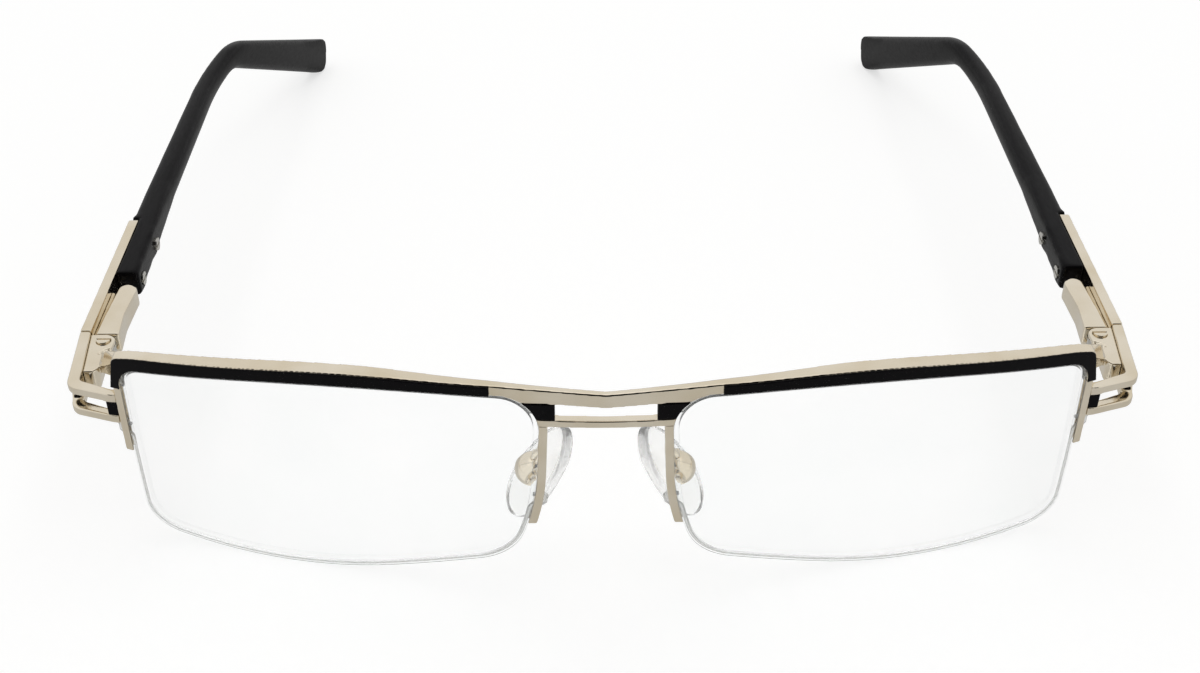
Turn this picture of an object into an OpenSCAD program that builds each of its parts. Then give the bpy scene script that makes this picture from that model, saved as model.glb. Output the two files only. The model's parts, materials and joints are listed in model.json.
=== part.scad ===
// Half-rim reading glasses, as worn: X is across the face, Y runs back along the temples, Z is up.
// The front is drawn as a flat outline and wrapped on a large sphere, then leaned by the front tilt.
// Every side piece is drawn once, for +X, and mirrored for the other side.

/* [Lens outline] */
// Width of one lens between its rims
lens_w = 52.4; // [48:0.1:56]
// Height of one lens
lens_h = 33.4; // [30:0.1:36]
// Gap between the two lenses at the bridge
bridge_w = 15.9; // [14:0.1:20]
// How far the foot of the nasal edge leans outward
nasal_lean = 3.4; // [2:0.1:5]
// Height of the low nasal corner above the lens's bottom line
nasal_rise = 6.5; // [5:0.1:8]
// Height of the low temporal corner above the lens's bottom line
temporal_rise = 2.6; // [1:0.1:4]
// Drop of the top temporal corner below the top line
temporal_drop = 3.3; // [2.4:0.1:4]
// Corner radius of the lens at the brow's outer end
brow_corner_r = 3.2; // [2:0.1:4]
// Corner radius of the lens at the bridge
bridge_corner_r = 5; // [4:0.1:6]
// Corner radius of the low temporal corner
temporal_corner_r = 5; // [4:0.1:7]
// Corner radius of the low nasal corner
nasal_corner_r = 8; // [6:0.1:10]
// Thickness of the lens
lens_t = 1.6; // [1.5:0.1:2.2]
// Distance from the lens's front face to the middle of its groove
groove_y = 0.55; // [0.5:0.05:0.6]

/* [Front curve] */
// Radius of the sphere that the front is wrapped on
front_r = 185; // [150:1:260]
// Lean of the front, its foot toward the face, in degrees
front_tilt = 4.5; // [2:0.1:8]

/* [Brow and bridge] */
// Height of the brow bar above the lens
brow_h = 1.5; // [1.2:0.1:2.2]
// Width of the brow's leg beside the lens
brow_leg_w = 1.2; // [1:0.1:1.5]
// Length of the brow's leg below the top line
brow_leg_l = 6.4; // [5.8:0.1:6.8]
// Depth of the brow bar above the middle of a lens
bar_depth = 1.9; // [1.8:0.1:2.2]
// Depth of the brow bar at its outer end and beside the bridge
bar_end_depth = 1.4; // [1.35:0.05:1.6]
// Thickness of the black inlays
inlay_t = 0.25; // [0.2:0.01:0.4]
// Distance from the middle of the bridge to the brow inlay
inlay_start = 13.6; // [12:0.1:15]
// Height of the top bridge bar
bridge_h = 1.85; // [1.7:0.05:2.2]
// Dip of the top bridge bar in its middle
bridge_dip = 0.9; // [0.5:0.1:1.2]
// Height of the window between the bridge bars
window_h = 2.2; // [2:0.1:2.6]
// Half-width of the window between the bridge bars
window_half_w = 6; // [4:0.1:6.5]
// Height of the lower bridge bar
lower_bar_h = 1.05; // [0.9:0.05:1.3]

/* [Rims] */
// Width of the nasal rim wire
nasal_rim_w = 1.05; // [0.8:0.05:1.2]
// Depth of the nasal rim's tip below the top line
nasal_rim_l = 20.9; // [20.3:0.1:22]
// Width of the temporal rim wire
temporal_rim_w = 1; // [0.8:0.05:1.2]
// Length of the temporal rim below the end piece
temporal_rim_l = 4.6; // [4:0.1:5.4]
// Thickness of the nylon thread that holds the lens's lower edge
thread_d = 0.5; // [0.4:0.05:0.6]
// Distance between the two thread holes in a rim
thread_pitch = 1.6; // [1.4:0.1:2]

/* [End pieces] */
// Distance from the lens's outer edge to the arm's outer face at the temple joint
side_w = 8.45; // [8.2:0.05:8.8]
// Thickness of the wrap-round arm and of the temple plate
arm_t = 1.4; // [1.3:0.05:1.5]
// Height of the wrap-round arm and of the temple plate
arm_h = 4; // [3.9:0.1:4.4]
// Height of the upper bar of the open end piece
upper_bar_h = 1.3; // [1:0.1:1.4]
// Height of the lower bar of the open end piece
lower_loop_h = 1.2; // [0.9:0.1:1.3]
// Distance from the front's middle back to the temple joint
joint_y = 25; // [24:0.1:26]
// Drop of the temple's top edge below the bridge's top
temple_z = -7.9; // [-8.3:0.1:-7.6]

/* [Hinge] */
// Diameter of the hinge screw's shank
pin_d = 1.2; // [1:0.1:1.3]
// Outer diameter of the knuckle on the tongue
eye_d = 2.8; // [2.6:0.1:2.9]
// Height of the knuckle on the tongue
eye_h = 1.4; // [1.2:0.1:1.6]
// Distance from the hinge screw to the joint line
pivot_setback = 1.5; // [1.4:0.1:1.7]
// Distance from the arm's outer face to the hinge screw
pivot_inset = 3.4; // [3.35:0.05:3.5]
// Height of the hinge block
block_h = 3; // [2.9:0.1:3.2]
// Diameter of the tongue's rod
rod_d = 0.9; // [0.8:0.05:0.95]
// Length of the spring
spring_l = 6.6; // [6:0.1:7]
// Wire thickness of the spring
spring_wire = 0.22; // [0.16:0.02:0.24]
// Turns of the spring
spring_turns = 8; // [6:1:10]
// Radial running clearance of the hinge and of the tongue's rod
run_gap = 0.04; // [0.02:0.01:0.08]
// Gap between the metal faces at the joint line
joint_gap = 0.06; // [0.04:0.01:0.1]

/* [Temples] */
// Distance from the joint line to the ear bend
bend_l = 94; // [90:1:98]
// Distance along Y from the ear bend to the tip
tip_l = 46.5; // [43:0.5:49]
// Length of the metal plate on the temple
plate_l = 30; // [27:0.5:34]
// Length of the spring box
box_l = 14.6; // [13.8:0.1:15.5]
// Width of the sleeve at its front
sleeve_w = 4.1; // [3.9:0.1:4.3]
// Width of the sleeve at the ear bend
bend_w = 3.1; // [2.9:0.1:3.5]
// Height of the sleeve at its front
sleeve_h = 3.9; // [3.8:0.1:4.2]
// Height of the sleeve at the ear bend
bend_h = 3.6; // [3.4:0.1:4]
// Height of the sleeve's flared end
tip_h = 7.1; // [6.6:0.1:7.6]
// Width of the sleeve's tip
tip_w = 3.2; // [3:0.1:3.6]
// Outward splay of the temples, in degrees
splay = 1.7; // [1.3:0.1:2.1]
// Outward bow of the temple ahead of the ear bend, below 0 where it curves inward
bow = -0.6; // [-1:0.1:-0.2]
// Inward drift of the temple's tip
tip_drift = 11.6; // [10.5:0.1:12.5]
// Height of the flat core wire
core_h = 0.9; // [0.8:0.05:1]
// Thickness of the flat core wire
core_t = 0.9; // [0.7:0.1:1.1]
// Head diameter of the sleeve screws
sleeve_screw_d = 1.9; // [1.6:0.1:2]
// Distance between the two sleeve screws
sleeve_screw_pitch = 9.4; // [8:0.1:11]

/* [Nose pads] */
// Length of a nose pad
pad_l = 14.4; // [13.6:0.1:15.2]
// Width of a nose pad
pad_w = 6.9; // [6.6:0.1:7.4]
// Thickness of a nose pad
pad_t = 2.2; // [1.8:0.1:2.6]
// Distance from the middle of the bridge to the pad's rocking axis
pad_x = 9.6; // [9.3:0.1:9.9]
// Distance of the pad's rocking axis behind the bridge
pad_y = 7.6; // [7:0.1:8.2]
// Depth of the pad's rocking axis below the bridge's top
pad_z = -16.8; // [-17.4:0.1:-16.2]
// Lean of the pads toward each other at the top, in degrees
pad_lean = 30; // [27:1:33]
// Splay of the pads, their back edges apart, in degrees
pad_splay = 28; // [25:1:31]
// Thickness of the wire that carries a pad
pad_wire_d = 1; // [0.8:0.05:1.1]
// Shank diameter of the pad screw
pad_pin_d = 0.7; // [0.6:0.05:0.8]

/* [Hidden] */

// Colours of the materials
gold = "#cfc3a4";
black = "#17161a";
clear = "#e8f0f2";
steel = "#b9b9b6";

// Clearances and small shared sizes
fit = 0.03;
liner_t = 0.5;
groove_gap = 0.05;
bar_front = 0.3;
seam = 0.02;
smooth = 200;
round_fn = 48;
far = 60;

// Small vector helpers
function unit(v) = v / norm(v);
function turned(v, a) = [v.x * cos(a) - v.y * sin(a), v.x * sin(a) + v.y * cos(a)];
function cross2(a, b) = a.x * b.y - a.y * b.x;

// The arc that rounds the corner q of a closed outline, with p before it and n after it
function corner(p, q, n, r, steps) =
    let (a = unit(p - q), b = unit(n - q), half = acos(a * b) / 2)
    let (centre = q + unit(a + b) * r / sin(half))
    let (start = q + a * r / tan(half) - centre)
    let (sweep = (180 - 2 * half) * (cross2(a, b) > 0 ? -1 : 1))
    [for (i = [0:steps]) centre + turned(start, sweep * i / steps)];

// The corner q, rounded over a share of its shorter leg
function eased(p, q, n, share) = let (half = acos(unit(p - q) * unit(n - q)) / 2)
    [q.x, q.y, share * min(norm(p - q), norm(n - q)) * tan(half)];

// A closed outline from corners [x, y, radius]
function rounded(c, steps = 12) = [
    for (i = [0:len(c) - 1])
        let (k = len(c), p = c[(i + k - 1) % k], q = c[i], n = c[(i + 1) % k])
        each (q.z > 0 ? corner([p.x, p.y], [q.x, q.y], [n.x, n.y], q.z, steps) : [[q.x, q.y]])
];

// The same corners moved inward by d, for an outline that runs clockwise
function inset(c, d) = [
    for (i = [0:len(c) - 1])
        let (k = len(c), p = c[(i + k - 1) % k], q = c[i], n = c[(i + 1) % k])
        let (a = unit([q.x - p.x, q.y - p.y]), b = unit([n.x - q.x, n.y - q.y]))
        let (na = [a.y, -a.x], nb = [b.y, -b.x], m = unit(na + nb))
        [q.x + m.x * d / (m * na), q.y + m.y * d / (m * na), max(q.z - d, 0.2)]
];

// The rim line round one lens, clockwise from the nasal top corner
nasal_x = bridge_w / 2;
temporal_x = nasal_x + lens_w;
top_z = -0.9;
bottom_z = top_z - lens_h;
middle_x = nasal_x + lens_w / 2;
half_w = temporal_x + side_w;
top_nasal = [nasal_x - 0.2, top_z - 0.4];
top_middle = [middle_x - 3, top_z + 0.2];
top_temporal = [temporal_x - 0.9, top_z - temporal_drop];
low_temporal = [temporal_x + 0.1, bottom_z + temporal_rise];
low_middle = [middle_x + 7, bottom_z - 0.9];
low_nasal = [nasal_x + nasal_lean, bottom_z + nasal_rise];
side_nasal = [nasal_x + 0.5, top_z - lens_h / 2];
rim_line = [
    [top_nasal.x, top_nasal.y, bridge_corner_r],
    eased(top_nasal, top_middle, top_temporal, 0.59),
    [top_temporal.x, top_temporal.y, brow_corner_r],
    [low_temporal.x, low_temporal.y, temporal_corner_r],
    eased(low_temporal, low_middle, low_nasal, 0.74),
    [low_nasal.x, low_nasal.y, nasal_corner_r],
    eased(low_nasal, side_nasal, top_nasal, 0.44)
];
lens_edge = inset(rim_line, groove_gap);
thread_line = inset(rim_line, thread_d / 2 + 2 * groove_gap);

// Where the rim line lies across the face at a height, on each side of the lens
rim_points = rounded(rim_line, 24);
function rim_x(z, temporal) =
    lookup(z, [for (p = rim_points) if ((p.x > middle_x) == temporal) [p.y, p.x]]);

// Depth of the wrapped front's surface, raised by d, at a place in the front's own frame
wrap_z = top_z - lens_h / 2 + 1.6;
function wrap_y(x, z, d = 0) = front_r - sqrt(pow(front_r + d, 2) - x * x - pow(z - wrap_z, 2));
// A place in the front's own frame, as worn
function worn(v) = [
    v.x, v.y * cos(front_tilt) - v.z * sin(front_tilt), v.y * sin(front_tilt) + v.z * cos(front_tilt)
];
function on_front(x, z, d = 0) = worn([x, wrap_y(x, z, d), z]);

// The hinge's axis and the joint line
pivot_x = half_w - pivot_inset;
pivot_y = joint_y - pivot_setback;
block_top = temple_z - 0.5;
eye_z = block_top - block_h / 2;
plate_bottom = temple_z - arm_h;
// The end piece's foot, as worn and in the front's own frame
arm_foot = plate_bottom - 0.5;
foot_line_z = (arm_foot - wrap_y(temporal_x, top_z - 9) * sin(front_tilt)) / cos(front_tilt);

// The temple's side outline, with its tip standing level with the lenses
bend_y = joint_y + bend_l;
tip_y = bend_y + tip_l;
sleeve_y = joint_y + box_l;
sleeve_top = temple_z - 0.1;
front_lean = 1;
// The plate stands a little proud of the sleeve's outer face
sleeve_x = half_w - 0.3;
lens_low = min([for (p = rounded(lens_edge)) for (d = [0, -lens_t]) on_front(p.x, p.y, d).z]);
function side_outline(low) = [
    [sleeve_y, sleeve_top, 0.3],
    [bend_y + 1.5, sleeve_top - 0.1, 22],
    [tip_y, low + tip_h, 2.2],
    [tip_y - 1.9, low, 2.8],
    [bend_y - 2.5, sleeve_top - bend_h - 0.1, 18],
    [sleeve_y - front_lean, sleeve_top - sleeve_h, 0.8]
];
function lowest(low) = min([for (p = rounded(side_outline(low), 16)) p.y]);
tip_try_z = 2 * lens_low - lowest(lens_low);
tip_low_z = tip_try_z + lens_low - lowest(tip_try_z);
side_points = rounded(side_outline(tip_low_z), 16);
// The temple's plan: the line from the sleeve's front to its tip, widths w0, w1 and w2 inside its outer face
function plan_line(w0, w1, w2, y0) = [
    [sleeve_x - w0, y0, 0],
    [sleeve_x - 0.9 * w0, joint_y + plate_l + 7, 150],
    [sleeve_x + bow - w1, bend_y - 11, 110],
    [sleeve_x - tip_drift - w2, tip_y + 1, 0]
];
function flipped(c) = [for (i = [len(c) - 1:-1:0]) c[i]];
function between(a, b) = rounded(concat(a, flipped(b)));
// The same points with more between them where they stand further than gap apart
function filled(p, gap) = [
    for (i = [0:len(p) - 2])
        let (n = ceil(norm(p[i + 1] - p[i]) / gap))
        for (j = [0:n - 1]) p[i] + (p[i + 1] - p[i]) * j / n,
    p[len(p) - 1]
];
front_most = min([for (x = [0:1:14]) for (z = [top_z - 5:0.5:top_z]) on_front(x, z, bar_front).y]);
temple_reach = max([for (p = side_points) p.x]) - joint_y;
back_most = joint_y + temple_reach * cos(splay) + (half_w - sleeve_x + tip_drift + tip_w) * sin(splay);
rest_z = min([for (p = side_points) p.y]);
shift = [0, -(front_most + back_most) / 2, -min(lens_low, rest_z)];

// Puts a piece drawn for the +X side on side s, in the part's own frame
module on_side(s) translate(shift) mirror([s < 0 ? 1 : 0, 0, 0]) children();
module in_front() rotate([front_tilt, 0, 0]) children();
// Turns a temple piece outward by the splay, about the outer corner of the joint
module splayed() translate([half_w, joint_y, 0]) rotate([0, 0, -splay])
    translate([-half_w, -joint_y, 0]) children();

// An X-Z outline wrapped between two depths of the front's sphere
module wrapped(front, back) intersection() {
    rotate([90, 0, 0]) translate([0, 0, -far / 2]) linear_extrude(far) children();
    translate([0, front_r, wrap_z]) difference() {
        sphere(front_r + front, $fn = smooth);
        sphere(front_r - back, $fn = smooth);
    }
}
// The brow bar's back is a flatter sphere behind each lens, so that the bar thins toward both its ends
back_r = 1 / (1 / front_r - 8 * (bar_depth - bar_end_depth) / pow(lens_w, 2));
back_dir = unit([middle_x, wrap_y(middle_x, top_z) - front_r, top_z - wrap_z]);
back_centre = [0, front_r, wrap_z] + back_dir * (front_r - bar_depth + bar_front - back_r);
module thinned() difference() {
    children();
    translate(back_centre) sphere(back_r, $fn = smooth);
}
// Outlines drawn in plan, and outlines drawn from the side
module plan(z0, z1) translate([0, 0, z0]) linear_extrude(z1 - z0) children();
module from_side(x0, x1) translate([x0, 0, 0]) rotate([90, 0, 90]) linear_extrude(x1 - x0) children();
// A smooth curve that runs through points, with the given steps between two of them
function spline(p, steps) = [
    for (i = [0:len(p) - 2]) for (j = [0:steps - (i == len(p) - 2 ? 0 : 1)])
        let (t = j / steps, a = p[max(i - 1, 0)], b = p[i], c = p[i + 1], d = p[min(i + 2, len(p) - 1)])
        (2 * b + (c - a) * t + (2 * a - 5 * b + 4 * c - d) * t * t + (3 * b - a - 3 * c + d) * t * t * t) / 2
];
module along_y(p, r, l) translate(p) rotate([-90, 0, 0]) cylinder(h = l, r = r, $fn = round_fn);
module along_x(p, r, l) translate(p) rotate([0, 90, 0]) cylinder(h = l, r = r, $fn = round_fn);
// A round tube swept along points that lie near one plane, whose normal is side
module swept(points, d, side, sides = 8) {
    k = len(points);
    rings = [
        for (i = [0:k - 1])
            let (t = unit(points[min(i + 1, k - 1)] - points[max(i - 1, 0)]))
            let (u = unit(cross(t, side)), w = cross(t, u))
            for (j = [0:sides - 1])
                points[i] + (u * cos(360 * j / sides) + w * sin(360 * j / sides)) * d / 2
    ];
    walls = [
        for (i = [0:k - 2]) for (j = [0:sides - 1])
            let (a = i * sides + j, b = i * sides + (j + 1) % sides)
            each [[a, b, b + sides], [a, b + sides, a + sides]]
    ];
    caps = [[for (j = [0:sides - 1]) sides - 1 - j], [for (j = [0:sides - 1]) (k - 1) * sides + j]];
    polyhedron(rings, concat(walls, caps), convexity = 6);
}

// Brow and bridge
top_edge_z = top_z + brow_h;
corner_x = temporal_x + brow_leg_w - 1.7;
module lens_area(d = 0) polygon(rounded(inset(rim_line, d)));
module brow_area(drop = 0) difference() {
    polygon(rounded([
        [0, top_z + 0.1 - drop, 0],
        [bridge_w / 2.4, top_z + bridge_dip * 0.75 - drop, 12],
        [inlay_start, top_edge_z - 0.35 - drop, 30],
        [middle_x - 3, top_edge_z + 0.15 - drop, 120],
        [temporal_x - 3, top_edge_z - temporal_drop + 0.6 - drop, 12],
        [corner_x, top_edge_z - temporal_drop - drop, 0.9],
        [corner_x + 0.95, top_z - brow_leg_l, 0],
        [corner_x - 3, top_z - brow_leg_l, 0],
        [corner_x - 5, top_z - 5, 0],
        [nasal_x + 2.5, top_z - 1.2, 0],
        [window_half_w, top_z - bridge_h + 0.55, 0],
        [0, top_z - bridge_h, 0]
    ], 6));
    lens_area();
}
module mid_groove(far_in, far_out)
    wrapped(liner_t / 2 + groove_gap - groove_y, liner_t / 2 + groove_gap + groove_y) difference() {
        lens_area(-far_out);
        lens_area(far_in);
    }
module brow_bar() color(gold) translate(shift) in_front() difference() {
    for (s = [0, 1]) mirror([s, 0, 0]) thinned() wrapped(bar_front, bar_depth) brow_area();
    for (s = [0, 1]) mirror([s, 0, 0]) mid_groove(1, liner_t - groove_gap);
}
module brow_inlay(s) color(black) on_side(s) in_front()
    wrapped(bar_front + inlay_t, -bar_front - seam) difference() {
        brow_area(0.1);
        translate([0, top_z - 10]) square([inlay_start, 20]);
    }
block_top_z = top_z - bridge_h + 0.53;
block_low_z = block_top_z - window_h;
module bridge_block(s) color(black) on_side(s) in_front() difference() {
    wrapped(bar_front, bar_end_depth - bar_front - 0.05) difference() {
        polygon([
            [window_half_w, block_top_z], [nasal_x + bridge_corner_r, block_top_z],
            [nasal_x + bridge_corner_r, block_low_z], [window_half_w, block_low_z]
        ]);
        lens_area(-seam);
    }
    mid_groove(1, liner_t - groove_gap);
}
module lower_bridge_bar() color(gold) translate(shift) in_front()
    wrapped(bar_front, bar_end_depth - bar_front - 0.25)
        difference() {
            polygon(concat(
                [for (x = [-1:0.25:1]) [x * (nasal_x + 1), block_low_z - seam - 0.2 * cos(x * 90)]],
                [for (x = [1:-0.25:-1]) [x * (nasal_x + 1), block_low_z - lower_bar_h - 0.15 * cos(x * 90)]]
            ));
            lens_area(-seam);
            mirror([1, 0]) lens_area(-seam);
        }

// Rims
module rim_area(w, x0, x1, z0, z1) intersection() {
    difference() {
        lens_area(-w);
        lens_area();
    }
    translate([x0, z0]) square([x1 - x0, z1 - z0]);
}
nasal_hole_z = top_z - nasal_rim_l + 4.8;
loop_gap = 0.15;
temporal_hole_z = foot_line_z - thread_d / 2 - loop_gap;
module thread_holes(z, temporal) for (i = [0, 1]) let (h = z - i * thread_pitch, x = rim_x(h, temporal))
    translate([x, wrap_y(x, h, -groove_y), h]) rotate([0, 0, asin(x / front_r)])
        along_x([-3, 0, 0], thread_d / 2 + groove_gap, 6);
module nasal_rim(s) color(gold) on_side(s) in_front() difference() {
    wrapped(bar_front - 0.2, bar_end_depth - bar_front) rim_area(
        nasal_rim_w, 0, middle_x, top_z - nasal_rim_l, block_low_z - lower_bar_h - 0.15);
    mid_groove(1, liner_t - groove_gap);
    thread_holes(nasal_hole_z, false);
}
module temporal_rim(s) color(gold) on_side(s) in_front() difference() {
    wrapped(bar_front - 0.1, bar_end_depth - bar_front) rim_area(
        temporal_rim_w, middle_x, far * 2, foot_line_z - temporal_rim_l, top_z - brow_leg_l - seam);
    mid_groove(1, liner_t - groove_gap);
    thread_holes(temporal_hole_z, true);
}

// Lens, its liner and the thread
module lens(s) color(clear, 0.35) on_side(s) in_front() difference() {
    wrapped(0, lens_t) lens_area(groove_gap);
    mid_groove(thread_d + 3 * groove_gap, 1);
}
module lens_liner(s) color(clear, 0.6) on_side(s) in_front()
    wrapped(liner_t / 2 - groove_y, liner_t / 2 + groove_y) difference() {
        lens_area(-liner_t + 3 * groove_gap);
        lens_area(thread_d - groove_gap);
        translate([middle_x, top_z - brow_leg_l - far]) square([far, far]);
        translate([middle_x - 3 * far, top_z - 3 - far]) square([3 * far, far]);
    }
function thread_at(x, z) = [x, wrap_y(x, z, -groove_y), z];
module nylon_thread(s) {
    nasal_low = nasal_hole_z - thread_pitch;
    temporal_low = temporal_hole_z - thread_pitch;
    edge = [
        for (p = filled(rounded(thread_line, 10), 3))
            if (p.y < (p.x > middle_x ? temporal_low : nasal_low) - 0.6) thread_at(p.x, p.y)
    ];
    out_t = temporal_rim_w + thread_d / 2 + 2 * groove_gap;
    out_n = nasal_rim_w + thread_d / 2 + 2 * groove_gap;
    start = [for (v = [
        [-0.3, temporal_hole_z], [out_t - 0.25, temporal_hole_z], [out_t, temporal_hole_z - 0.25],
        [out_t, temporal_low + 0.25], [out_t - 0.25, temporal_low], [0.05, temporal_low],
        [-0.3, temporal_low - 0.4]
    ]) thread_at(rim_x(v.y, true) + v.x, v.y)];
    end = [for (v = [
        [-0.3, nasal_low - 0.4], [-0.05, nasal_low], [out_n - 0.25, nasal_low], [out_n, nasal_low + 0.25],
        [out_n, nasal_hole_z - 0.25], [out_n - 0.25, nasal_hole_z], [-0.3, nasal_hole_z]
    ]) thread_at(rim_x(v.y, false) - v.x, v.y)];
    color(clear) on_side(s) in_front() swept(concat(start, edge, end), thread_d, [0, 1, 0]);
}

// End pieces: the arm that wraps from the rim round to the temple joint
root = on_front(temporal_x + 0.4, top_z - 9, 0);
arm_front_y = root.y - 0.2;
arm_corner_y = arm_front_y + 2;
arm_step = 1.5;
wall_corner_y = arm_corner_y + 1.3;
arm_plan = [
    [temporal_x - 1.5, arm_front_y, 0],
    [temporal_x + temporal_rim_w, arm_front_y, 2],
    [half_w - arm_step, arm_corner_y, 2.1],
    [half_w, joint_y, 0],
    [half_w - arm_t, joint_y, 0],
    [half_w - arm_step - arm_t, wall_corner_y, 0.9],
    [temporal_x + temporal_rim_w, arm_front_y + 1.3, 2],
    [temporal_x - 1.5, arm_front_y + 1.3, 0]
];
// Where the bracket stands against the arm's inner wall
function wall_x(y) = half_w - arm_t - fit - arm_step * (joint_y - y) / (joint_y - wall_corner_y);
module endpiece(s) color(gold) on_side(s) difference() {
    plan(arm_foot, temple_z) polygon(rounded(arm_plan));
    // The open window between the upper and the lower bar, which runs round the corner
    from_side(0, half_w + 2) polygon(rounded([
        [0, arm_foot + lower_loop_h, 0], [0, temple_z - upper_bar_h, 0],
        [arm_corner_y + 1.9, temple_z - upper_bar_h, 0.8], [arm_corner_y + 1.9, arm_foot + lower_loop_h, 0.8]
    ]));
    // The foot rises behind the window to the height of the temple plate
    from_side(half_w - 5, half_w + 2) polygon(rounded([
        [arm_corner_y + 3, arm_foot - 1, 0], [arm_corner_y + 4.5, plate_bottom, 3],
        [joint_y + 1, plate_bottom, 0], [joint_y + 1, arm_foot - 1, 0]
    ]));
    // The temporal rim's outer side, with room for the thread's loop
    in_front() wrapped(2, bar_depth + 2) lens_area(-temporal_rim_w - seam);
}
module endpiece_inlay(s) color(black) on_side(s) difference() {
    plan(arm_foot + lower_loop_h + seam, temple_z - upper_bar_h - seam) polygon([
        [temporal_x - 1.5, arm_front_y + 0.1], [temporal_x + 1.7, arm_front_y + 0.3],
        [temporal_x + 1.7, arm_front_y + 1.3], [temporal_x - 1.5, arm_front_y + 1.2]
    ]);
    in_front() wrapped(2, bar_depth + 2) lens_area(-temporal_rim_w - seam);
}

// Hinge
arm_inner_y = wall_corner_y + 2.4;
module knuckle_space(gap) translate([0, 0, eye_z - eye_h / 2 - gap]) {
    translate([pivot_x, pivot_y, 0]) cylinder(h = eye_h + 2 * gap, d = eye_d + 0.2, $fn = round_fn);
    translate([pivot_x - 5, pivot_y - eye_d / 2 - 0.1, 0])
        cube([5 + eye_d / 2 + 0.1, eye_d + 2, eye_h + 2 * gap]);
}
knuckle_r = pivot_setback - joint_gap;
strap_root = on_front(corner_x - 0.3, top_z - 4, bar_front - bar_end_depth);
module hinge_bracket(s) color(gold) on_side(s) difference() {
    union() {
        plan(block_top - block_h, block_top) difference() {
            union() {
                polygon([
                    [pivot_x, pivot_y - 3.2], [wall_x(pivot_y - 3.2), pivot_y - 3.2],
                    [wall_x(joint_y), joint_y], [pivot_x, joint_y]
                ]);
                translate([pivot_x, pivot_y]) circle(knuckle_r, $fn = round_fn);
                translate([pivot_x - knuckle_r, pivot_y - 2.6]) square([knuckle_r + 0.2, 2.6]);
            }
            translate([pivot_x - knuckle_r - 0.3, pivot_y - 3.4]) circle(1.7, $fn = round_fn);
        }
        // The foot that stands against the arm's inner wall
        plan(block_top - block_h, block_top) polygon([
            [half_w - arm_t - 2.9, arm_inner_y + 0.7], [half_w - arm_t - 2.3, arm_inner_y],
            [wall_x(arm_inner_y), arm_inner_y], [wall_x(pivot_y - 3), pivot_y - 3],
            [half_w - arm_t - 2.6, pivot_y - 3]
        ]);
        // The strap to the brow's corner
        intersection() {
            plan(block_top - block_h, temple_z + 6) polygon(rounded([
                [strap_root.x - 0.6, strap_root.y + 0.15, 0], [strap_root.x + 0.4, strap_root.y + 0.15, 0],
                [pivot_x - 2.3, pivot_y - 7.4, 3], [half_w - arm_t - 1.9, pivot_y - 4.2, 0],
                [half_w - arm_t - 1.9, pivot_y - 3, 0], [pivot_x - 0.4, pivot_y - 3, 0],
                [pivot_x - 3.2, pivot_y - 6.6, 3]
            ], 8));
            from_side(half_w - 12, half_w) polygon(rounded([
                [strap_root.y, strap_root.z - 2.2, 0], [strap_root.y, strap_root.z + 0.9, 0],
                [strap_root.y + 3, strap_root.z + 0.4, 3], [pivot_y - 5, block_top - 1.1, 3],
                [pivot_y - 2, block_top - 0.9, 0], [pivot_y - 2, eye_z - 0.4, 0], [pivot_y - 5, eye_z, 2]
            ], 8));
        }
    }
    // Room for the lens's edge
    in_front() wrapped(2, lens_t + seam) lens_area();
    knuckle_space(0.05);
    translate([pivot_x, pivot_y, block_top - block_h - 1])
        cylinder(h = block_h + 2, d = pin_d + 2 * seam, $fn = round_fn);
    translate([pivot_x, pivot_y, block_top - 0.3]) cylinder(h = 1, d = pin_d + 0.7, $fn = round_fn);
}
module hinge_screw(s) color(gold) on_side(s) translate([pivot_x, pivot_y, block_top]) difference() {
    union() {
        translate([0, 0, 0.1 - block_h]) cylinder(h = block_h, d = pin_d, $fn = round_fn);
        translate([0, 0, -0.28]) cylinder(h = 0.5, d = pin_d + 0.62, $fn = round_fn);
    }
    translate([-2, -0.14, 0.02]) cube([4, 0.28, 1]);
}
rod_end_y = joint_y + 2.2 + spring_l;
module hinge_tongue(s) color(steel) on_side(s) difference() {
    union() {
        translate([pivot_x, pivot_y, eye_z - eye_h / 2]) cylinder(h = eye_h, d = eye_d, $fn = round_fn);
        translate([pivot_x - 0.75, pivot_y + 0.6, eye_z - eye_h / 2]) cube([1.5, pivot_setback - 0.6, eye_h]);
        along_y([pivot_x, pivot_y + 1, eye_z], rod_d / 2, rod_end_y + 1.4 - pivot_y - 1);
    }
    translate([pivot_x, pivot_y, eye_z - eye_h])
        cylinder(h = 2 * eye_h, r = pin_d / 2 + run_gap, $fn = round_fn);
}
cavity_r = 0.85;
module tongue_nut(s) color(steel) on_side(s) difference() {
    along_y([pivot_x, rod_end_y + 0.05, eye_z], cavity_r - 0.1, 1.1);
    along_y([pivot_x, rod_end_y - 1, eye_z], rod_d / 2 + seam, 4);
}
module spring_bush(s) color(steel) on_side(s) difference() {
    along_y([pivot_x, joint_y + 0.3, eye_z], cavity_r - seam, 1.6);
    along_y([pivot_x, joint_y - 1, eye_z], rod_d / 2 + run_gap, 4);
}
module hinge_spring(s) {
    coil_r = cavity_r - 0.06 - spring_wire / 2;
    steps = 10;
    coil = [
        for (i = [0:spring_turns * steps])
            let (a = 360 * i / steps, y = joint_y + 2.1 + spring_wire / 2)
            [
                pivot_x + coil_r * cos(a), y + (spring_l - 0.2 - spring_wire) * i / spring_turns / steps,
                eye_z + coil_r * sin(a)
            ]
    ];
    color(steel) on_side(s) swept(coil, spring_wire, [0, 1, 0], 6);
}

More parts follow.
